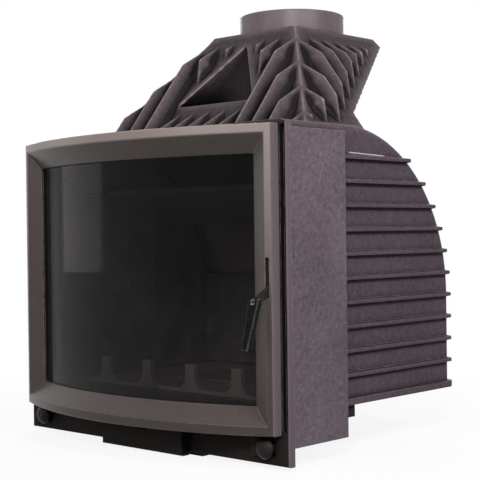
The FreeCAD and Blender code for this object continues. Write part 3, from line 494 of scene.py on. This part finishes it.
def relief(mesh, rounds):
    points = vectors(mesh.vertices, "co")
    count = len(points)
    ends = numpy.empty(len(mesh.edges) * 2, dtype=int)
    mesh.edges.foreach_get("vertices", ends)
    ends = ends.reshape(-1, 2)
    start = numpy.concatenate([ends[:, 0], ends[:, 1]])
    stop = numpy.concatenate([ends[:, 1], ends[:, 0]])
    links = numpy.bincount(start, minlength=count).clip(min=1)
    melted = points.copy()
    for _ in range(rounds):
        for axis in range(3):
            mean = numpy.bincount(start, weights=melted[stop, axis], minlength=count) / links
            melted[:, axis] = (melted[:, axis] + mean) / 2.0
    return ((points - melted) * vectors(mesh.vertex_normals, "vector")).sum(axis=1)


print("relief helper ready")


# %% Meshes of copied and shaped pieces
def put_in_scene(name, data):
    thing = bpy.data.objects.new(name, data)
    bpy.context.scene.collection.objects.link(thing)
    return thing


def joined_copy(name, names):
    points = []
    faces = []
    for node in names:
        start = len(points)
        data = nodes[node].data
        points.extend(v.co.copy() for v in data.vertices)
        faces.extend([start + i for i in p.vertices] for p in data.polygons)
    mesh = bpy.data.meshes.new(name)
    mesh.from_pydata(points, [], faces)
    return put_in_scene(name, mesh)


def shaped(piece):
    made = bpy.data.meshes.new_from_object(piece.evaluated_get(bpy.context.evaluated_depsgraph_get()))
    piece.modifiers.clear()
    piece.data = made
    return made


def shade_smooth(mesh):
    for polygon in mesh.polygons:
        polygon.use_smooth = True


print("mesh helpers ready")

# %% Soft casting
weld_gap = 0.00005
swell_rounds = 60
crest_rounds = 8
valley_push = 0.9
valley_limit = 0.005


def soft_casting(name, names, grain, rounds, share, material):
    piece = joined_copy(name, names)
    weld = piece.modifiers.new("weld", "WELD")
    weld.merge_threshold = weld_gap
    even = piece.modifiers.new("even", "REMESH")
    even.mode = "VOXEL"
    even.voxel_size = grain
    melt = piece.modifiers.new("melt", "SMOOTH")
    melt.factor = 0.5
    melt.iterations = rounds
    mesh = shaped(piece)
    swell = relief(mesh, swell_rounds)
    crest = relief(mesh, crest_rounds)
    push = valley_push * swell.clip(min=-valley_limit, max=0.0)
    deeper = vectors(mesh.vertices, "co") + vectors(mesh.vertex_normals, "vector") * push[:, None]
    mesh.vertices.foreach_set("co", deeper.ravel())
    mesh.update()
    tree = KDTree(len(deeper))
    for k, place in enumerate(deeper):
        tree.insert(place, k)
    tree.balance()
    thin = piece.modifiers.new("thin", "DECIMATE")
    thin.ratio = share
    mesh = shaped(piece)
    nearest = [tree.find(v.co)[1] for v in mesh.vertices]
    for label, values in (("swell", swell), ("crest", crest)):
        mesh.attributes.new(label, "FLOAT", "POINT").data.foreach_set("value", values[nearest])
    shade_smooth(mesh)
    mesh.materials.clear()
    mesh.materials.append(material)
    print("deepest valley", round(swell.min(), 5), "highest crest", round(crest.max(), 5))
    return piece


hood_nodes = dressing[hood_paint]
hood = soft_casting("hood_casting", hood_nodes, grain=0.0028, rounds=2, share=0.55, material=hood_paint)
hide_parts(*hood_nodes)
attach(hood, "casing")
print("hood faces:", len(hood.data.polygons))

# %% [markdown]
# ## Rope seal
# The door closes on a rope of three twisted strands that lies in a groove of the front plate. A tube
# would look like wire. Geometry Nodes take the groove's outline, round its corners and wind each strand
# about it: a point moves off the line by a turn that grows with the length along it.


# %% Trees of Geometry Nodes
def node_tree(name, inputs):
    tree = bpy.data.node_groups.new(name, "GeometryNodeTree")
    tree.interface.new_socket("Geometry", in_out="INPUT", socket_type="NodeSocketGeometry")
    for label in inputs:
        tree.interface.new_socket(label, in_out="INPUT", socket_type="NodeSocketFloat")
    tree.interface.new_socket("Geometry", in_out="OUTPUT", socket_type="NodeSocketGeometry")
    graph = Graph(tree)
    return graph, {label: graph.node("NodeGroupInput", out=label) for label in ["Geometry"] + inputs}


def close_tree(graph, geometry, material):
    real = graph.node("GeometryNodeRealizeInstances", None, {0: geometry})
    done = graph.node("GeometryNodeSetMaterial", None, {"Geometry": real, "Material": material})
    graph.node("NodeGroupOutput", None, {0: done})


def grown(name, mesh, graph, sizes):
    piece = put_in_scene(name, mesh)
    modifier = piece.modifiers.new(name, "NODES")
    modifier.node_group = graph.tree
    for item in graph.tree.interface.items_tree:
        if item.item_type == "SOCKET" and item.in_out == "INPUT" and item.name in sizes:
            modifier[item.identifier] = sizes[item.name]
    shaped(piece)
    return piece


print("tree helpers ready")

# %% Rope of twisted strands
strands = 3
full_turn = 2.0 * math.pi
rope_sizes = {"Strand Radius": 0.0019, "Lay Radius": 0.0018, "Lay Length": 0.024, "Corner Radius": 0.012,
              "Step": 0.0024}
winding, lay = node_tree("twisted_rope", list(rope_sizes))
line = winding.node("GeometryNodeMeshToCurve", None, {"Mesh": lay["Geometry"]})
line = winding.node("GeometryNodeFilletCurve", {"mode": "POLY"},
                    {"Curve": line, "Radius": lay["Corner Radius"], "Count": 8})
line = winding.node("GeometryNodeResampleCurve", {"mode": "LENGTH"}, {"Curve": line, "Length": lay["Step"]})
turned = winding.node("GeometryNodeSplineParameter", out="Length") * full_turn / lay["Lay Length"]
side = winding.vector("CROSS_PRODUCT", winding.node("GeometryNodeInputTangent"), (0.0, 1.0, 0.0))
section = winding.node("GeometryNodeCurvePrimitiveCircle", None,
                       {"Resolution": 7, "Radius": lay["Strand Radius"]})
tubes = []
for k in range(strands):
    angle = turned + full_turn * k / strands
    sway = winding.node("ShaderNodeMath", {"operation": "SINE"}, {0: angle}) * lay["Lay Radius"]
    lift = winding.node("ShaderNodeMath", {"operation": "COSINE"}, {0: angle}) * lay["Lay Radius"]
    sideways = winding.node("ShaderNodeVectorMath", {"operation": "SCALE"}, {0: side, "Scale": sway})
    outward = winding.node("ShaderNodeCombineXYZ", None, {"Y": lift})
    strand = winding.node("GeometryNodeSetPosition", None,
                          {"Geometry": line, "Offset": winding.vector("ADD", sideways, outward)})
    tubes.append(winding.node("GeometryNodeCurveToMesh", None, {"Curve": strand, "Profile Curve": section}))
close_tree(winding, winding.node("GeometryNodeJoinGeometry", None, {0: tubes}), rope_fibre)
print("rope tree nodes:", len(winding.tree.nodes))

# %% Rope in its groove
groove_low, groove_high = (Vector(corner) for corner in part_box("door_seal"))
half_width = 0.004
depth = (groove_low.y + groove_high.y) / 2
x0, x1 = groove_low.x + half_width, groove_high.x - half_width
z0, z1 = groove_low.z + half_width, groove_high.z - half_width
outline = bpy.data.meshes.new("groove_outline")
outline.from_pydata([(x0, depth, z0), (x1, depth, z0), (x1, depth, z1), (x0, depth, z1)],
                    [(0, 1), (1, 2), (2, 3), (3, 0)], [])
rope = grown("rope_seal", outline, winding, rope_sizes)
shade_smooth(rope.data)
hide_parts("door_seal")
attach(rope, "casing")
print("rope faces:", len(rope.data.polygons))

# %% [markdown]
# ## Bolts of the glass clips
# Eight small bolts hold the clips behind the glass, and they show when the door is open. Each has a
# washer, a hexagon and a turned crown. They stand square to the bow of the door, so the points that carry
# them also carry their turn. One tree puts the same bolt on every point.

# %% One bolt on every point
bolt_sizes = {"Shank Radius": 0.0025, "Shank Length": 0.008, "Head Radius": 0.0045, "Head Height": 0.003}
crown_share = 0.25
crown_narrowing = 0.72
washer_over = 1.12
washer_thickness = 0.0008
bolting, bolt = node_tree("clip_bolt", list(bolt_sizes))


def bolt_part(kind, sockets, height):
    shape = bolting.node(kind, None, sockets)
    lift = bolting.node("ShaderNodeCombineXYZ", None, {"Z": height})
    return bolting.node("GeometryNodeTransform", None, {"Geometry": shape, "Translation": lift})


crown_height = bolt["Head Height"] * crown_share
bar_height = bolt["Head Height"] - crown_height
shank = bolt_part("GeometryNodeMeshCylinder",
                  {"Vertices": 16, "Radius": bolt["Shank Radius"], "Depth": bolt["Shank Length"]},
                  bolt["Shank Length"] * -0.5)
hexagon = bolt_part("GeometryNodeMeshCylinder",
                    {"Vertices": 6, "Radius": bolt["Head Radius"], "Depth": bar_height}, bar_height * 0.5)
crown = bolt_part("GeometryNodeMeshCone",
                  {"Vertices": 6, "Radius Top": bolt["Head Radius"] * crown_narrowing,
                   "Radius Bottom": bolt["Head Radius"], "Depth": crown_height}, bar_height)
washer = bolt_part("GeometryNodeMeshCylinder",
                   {"Vertices": 24, "Radius": bolt["Head Radius"] * washer_over, "Depth": washer_thickness},
                   washer_thickness / 2.0)
whole = bolting.node("GeometryNodeJoinGeometry", None, {0: [shank, hexagon, crown, washer]})
stand = bolting.node("GeometryNodeInputNamedAttribute", {"data_type": "FLOAT_VECTOR"}, {"Name": "turn"})
row = bolting.node("GeometryNodeInstanceOnPoints", None,
                   {"Points": bolt["Geometry"], "Instance": whole, "Rotation": stand})
close_tree(bolting, row, bright_steel)
print("bolt tree nodes:", len(bolting.tree.nodes))

# %% [markdown]
# ## Seats of the bolts
# The bolts sit on the backs of the clips. Behind the face of the bow come the bevel of the frame, the lip
# that stops the glass, the gasket, the glass and the clip, each with its thickness, so the seats lie on a
# smaller circle about the same axis.

# %% Bolts on their seats
layers = {"bevel": 0.024, "lip": 0.003, "gasket": 0.001, "glass": 0.004, "clip": 0.003, "slack": 0.0003}
seat_radius = bow_radius - sum(layers.values())
seat_angles = (-17.0, -6.0, 6.0, 17.0)
seat_inset = 0.0045
screws_low, screws_high = (Vector(corner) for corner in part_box("clip_screws"))
spots = []
turns = []
for z in (screws_low.z + seat_inset, screws_high.z - seat_inset):
    for degrees in seat_angles:
        bearing = math.radians(degrees)
        spots.append((seat_radius * math.sin(bearing), bow_centre - seat_radius * math.cos(bearing), z))
        turns.append((-math.pi / 2.0, 0.0, bearing))
seats = bpy.data.meshes.new("bolt_seats")
seats.from_pydata(spots, [], [])
attribute = seats.attributes.new("turn", "FLOAT_VECTOR", "POINT")
for k, value in enumerate(turns):
    attribute.data[k].vector = value
bolts = grown("clip_bolts", seats, bolting, bolt_sizes)
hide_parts("clip_screws")
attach(bolts, "door")
print("bolt faces:", len(bolts.data.polygons))

# %% [markdown]
# ## Floor and world
# The photograph has a white ground. A white floor under strong light would be easy, but it would throw
# far too much light back on the insert. So the floor and the world are white to the eye, to reflections
# and through the glass, and shine much less on the insert itself. The floor still takes part of its
# brightness from the lamps, so a soft shadow stays.


# %% Floor
def seen_directly(graph):
    eye_ray = graph.node("ShaderNodeLightPath", out="Is Camera Ray")
    mirrored = graph.node("ShaderNodeLightPath", out="Is Glossy Ray")
    through_glass = graph.node("ShaderNodeLightPath", out="Is Transmission Ray")
    return graph.slope(eye_ray + mirrored + through_glass, 0.0, 1.0)


white = rgb(1.0, 1.0, 1.0)
floor_half = 14.0
floor_mesh = bpy.data.meshes.new("floor")
floor_mesh.from_pydata([(-floor_half, -floor_half, 0.0), (floor_half, -floor_half, 0.0),
                        (floor_half, floor_half, 0.0), (-floor_half, floor_half, 0.0)], [], [(0, 1, 2, 3)])
floor = put_in_scene("floor", floor_mesh)
pale = Finish("pale_floor")
direct = seen_directly(pale)
tint = pale.mix(direct, rgb(0.12, 0.12, 0.12), rgb(0.9, 0.9, 0.9))
matte = pale.node("ShaderNodeBsdfDiffuse", None, {"Color": tint})
shine = pale.node("ShaderNodeEmission", None, {"Color": white, "Strength": 1.0})
away = pale.vector("LENGTH", pale.place, out="Value")
glow = 0.88 + 0.12 * pale.slope(away, 0.5, 1.2)
ground = pale.node("ShaderNodeMixShader", None, {0: direct * glow, 1: matte, 2: shine})
pale.node("ShaderNodeOutputMaterial", None, {"Surface": ground})
floor_mesh.materials.append(pale.material)
print("floor half width:", floor_half)

# %% World
world = bpy.data.worlds.new("studio")
world.use_nodes = True
bpy.context.scene.world = world
sky = Graph(world.node_tree)
strength = 0.04 + 0.96 * seen_directly(sky)
dome = sky.node("ShaderNodeBackground", None, {"Color": white, "Strength": strength})
sky.node("ShaderNodeOutputWorld", None, {"Surface": dome})
print("world:", world.name)

# %% [markdown]
# ## Lamps
# Seven square lamps stand round the insert. The key at the front right draws the door and the pleats, and
# the one at the side draws the panel and the fins. The lamps in front, above and at the left only lift
# the shadows, and two behind keep the back readable, because the insert is looked at from all sides. A
# mirror image of a lamp in the glass or along the collar would spoil them, which settled the places of
# the front lamp and of those behind. Every lamp looks at a point on the insert's middle line.


# %% Lamps
def soft_lamp(name, place, aim_height, size, power, colour):
    lamp = bpy.data.lights.new(name, "AREA")
    lamp.shape = "SQUARE"
    lamp.size = size
    lamp.energy = power
    lamp.color = colour
    holder = put_in_scene(name, lamp)
    facing = (Vector((0.0, 0.0, aim_height)) - Vector(place)).to_track_quat("-Z", "Y")
    holder.matrix_world = Matrix.Translation(place) @ facing.to_matrix().to_4x4()


soft_lamp("side", (2.7, -0.3, 1.9), 0.6, 0.8, 54.0, (0.97, 0.965, 1.0))
soft_lamp("front", (-0.5, -3.7, 1.5), 0.45, 1.4, 34.0, (1.0, 0.955, 0.925))
soft_lamp("key", (2.1, -2.3, 1.8), 0.8, 0.5, 86.0, (1.0, 0.96, 0.93))
soft_lamp("above", (0.9, -1.9, 3.6), 0.45, 1.2, 8.0, (1.0, 0.97, 0.95))
soft_lamp("left", (-3.6, -1.6, 1.05), 0.45, 1.7, 12.0, (1.0, 0.95, 0.92))
soft_lamp("back", (-2.0, 3.3, 1.9), 0.3, 1.8, 55.0, (1.0, 0.98, 0.98))
soft_lamp("back_left", (-2.9, 2.3, 1.3), 0.3, 1.6, 55.0, (1.0, 0.98, 0.98))
print("lamps:", [lamp.name for lamp in bpy.data.lights])

# %% [markdown]
# ## View
# The Standard view keeps colours as they were written.

# %% View and finish
bpy.context.scene.view_settings.view_transform = "Standard"
